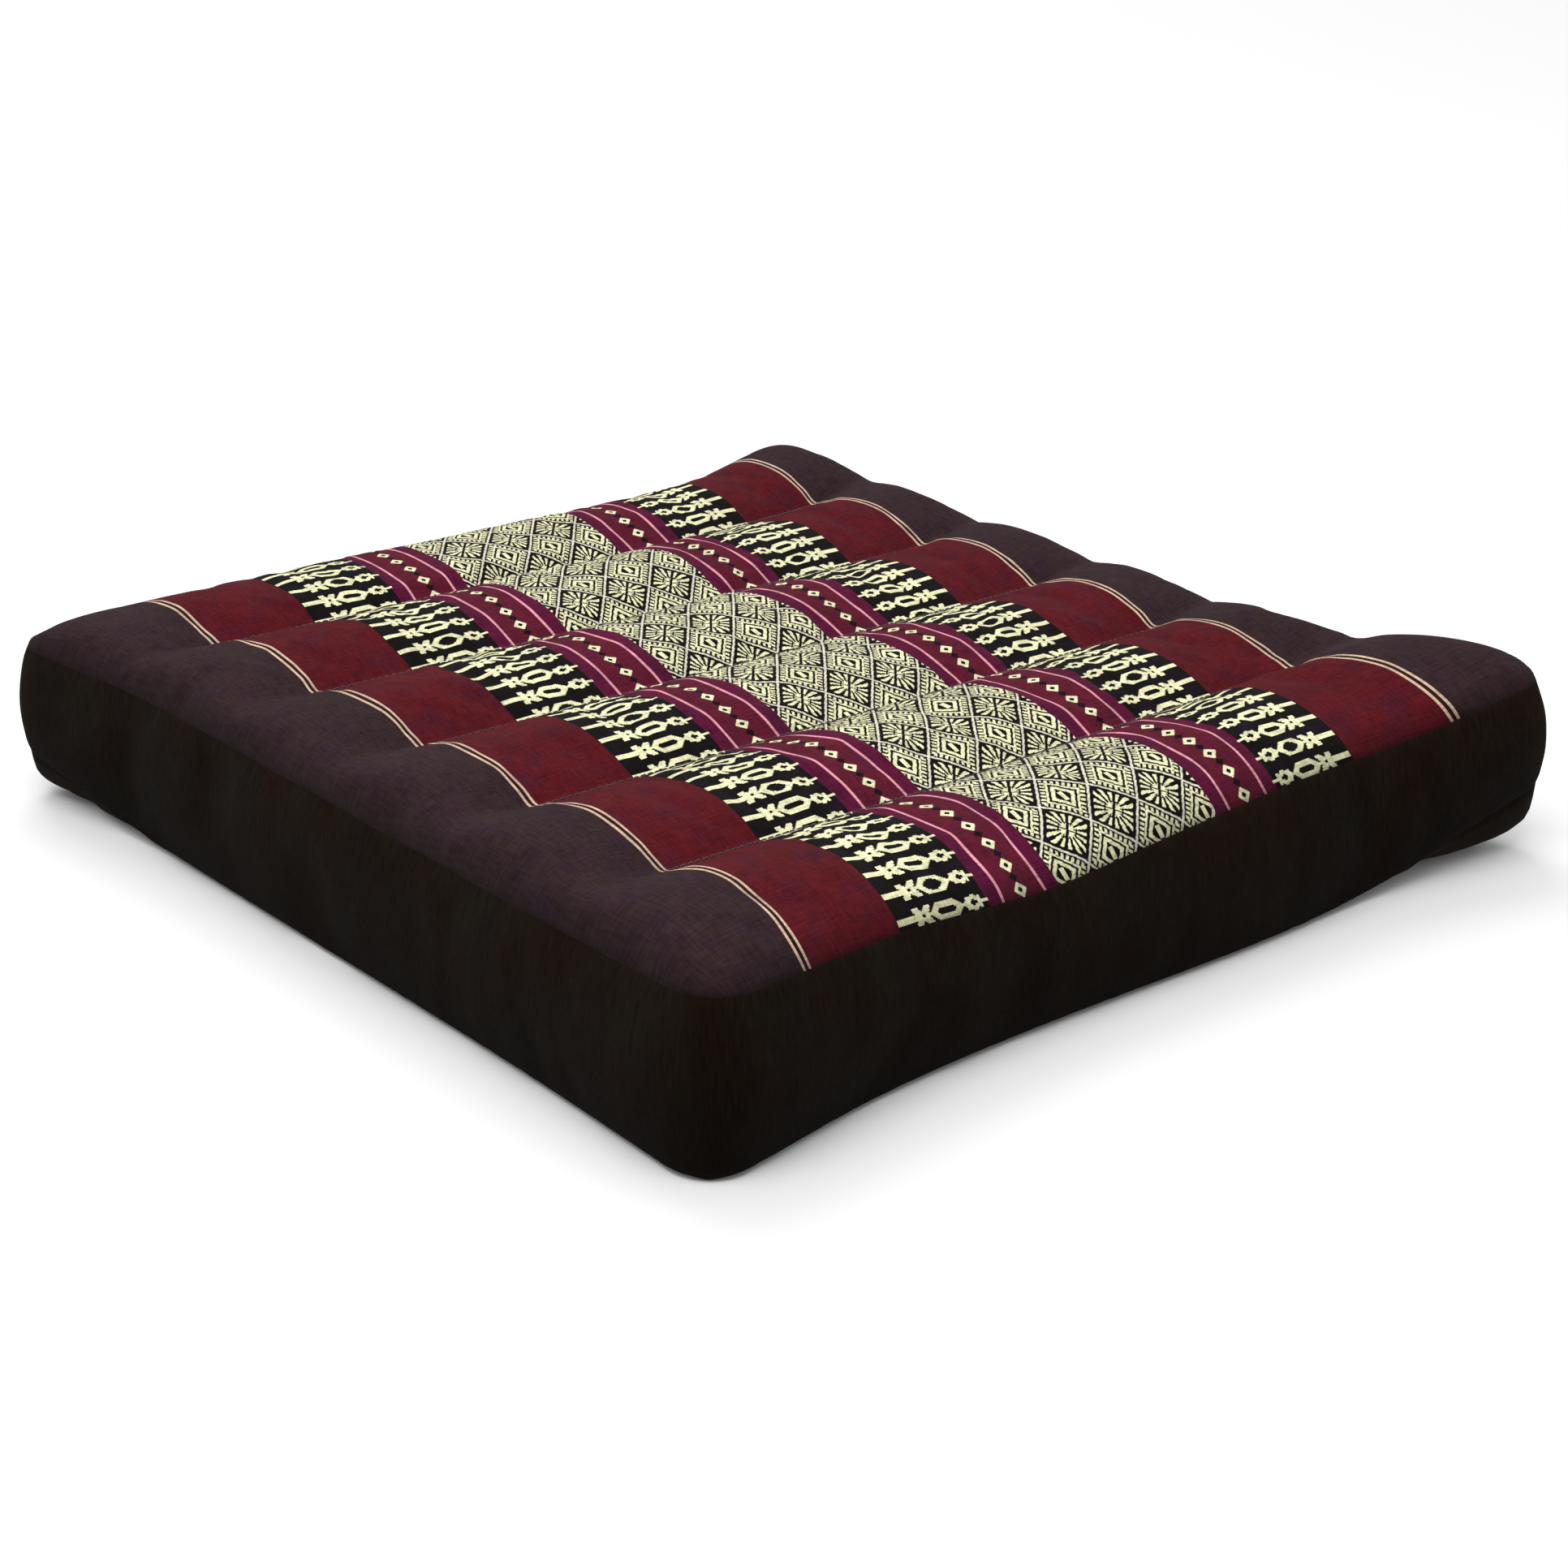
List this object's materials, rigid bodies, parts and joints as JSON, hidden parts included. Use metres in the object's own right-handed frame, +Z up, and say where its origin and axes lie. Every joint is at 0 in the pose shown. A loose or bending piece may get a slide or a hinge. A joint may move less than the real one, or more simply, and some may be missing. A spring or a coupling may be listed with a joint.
{
  "type": "floor cushion",
  "caption": "Square, flat floor cushion: striped woven top cloth, plain dark side band and base, stuffed in parallel channels with sewn grooves between them.",
  "frame": {"origin": "on the floor under the middle of the cushion", "axes": "+Z up; +Y along the woven stripes; +X across the stripes and along the stuffed channels"},
  "size_m": [0.512, 0.512, 0.0941],
  "materials": {
    "brocade": "matte",
    "side_cotton": "matte",
    "lining_cotton": "matte",
    "kapok": "matte",
    "dark_thread": "satin"
  },
  "bodies": {
    "root": {"top_panel": "brocade", "bottom_panel": "side_cotton", "side_band_front_left": "side_cotton", "side_band_back_right": "side_cotton", "baffle_1": "lining_cotton", "baffle_2": "lining_cotton", "baffle_3": "lining_cotton", "baffle_4": "lining_cotton", "baffle_5": "lining_cotton", "kapok_roll_1": "kapok", "kapok_roll_2": "kapok", "kapok_roll_3": "kapok", "kapok_roll_4": "kapok", "kapok_roll_5": "kapok", "kapok_roll_6": "kapok", "groove_thread_top_1": "dark_thread", "groove_thread_top_2": "dark_thread", "groove_thread_top_3": "dark_thread", "groove_thread_top_4": "dark_thread", "groove_thread_top_5": "dark_thread", "groove_thread_bottom_1": "dark_thread", "groove_thread_bottom_2": "dark_thread", "groove_thread_bottom_3": "dark_thread", "groove_thread_bottom_4": "dark_thread", "groove_thread_bottom_5": "dark_thread", "seam_thread_top": "dark_thread", "seam_thread_bottom": "dark_thread", "join_thread_front_right": "dark_thread", "join_thread_back_left": "dark_thread", "closing_stitches": "dark_thread"}
  },
  "joints": []
}
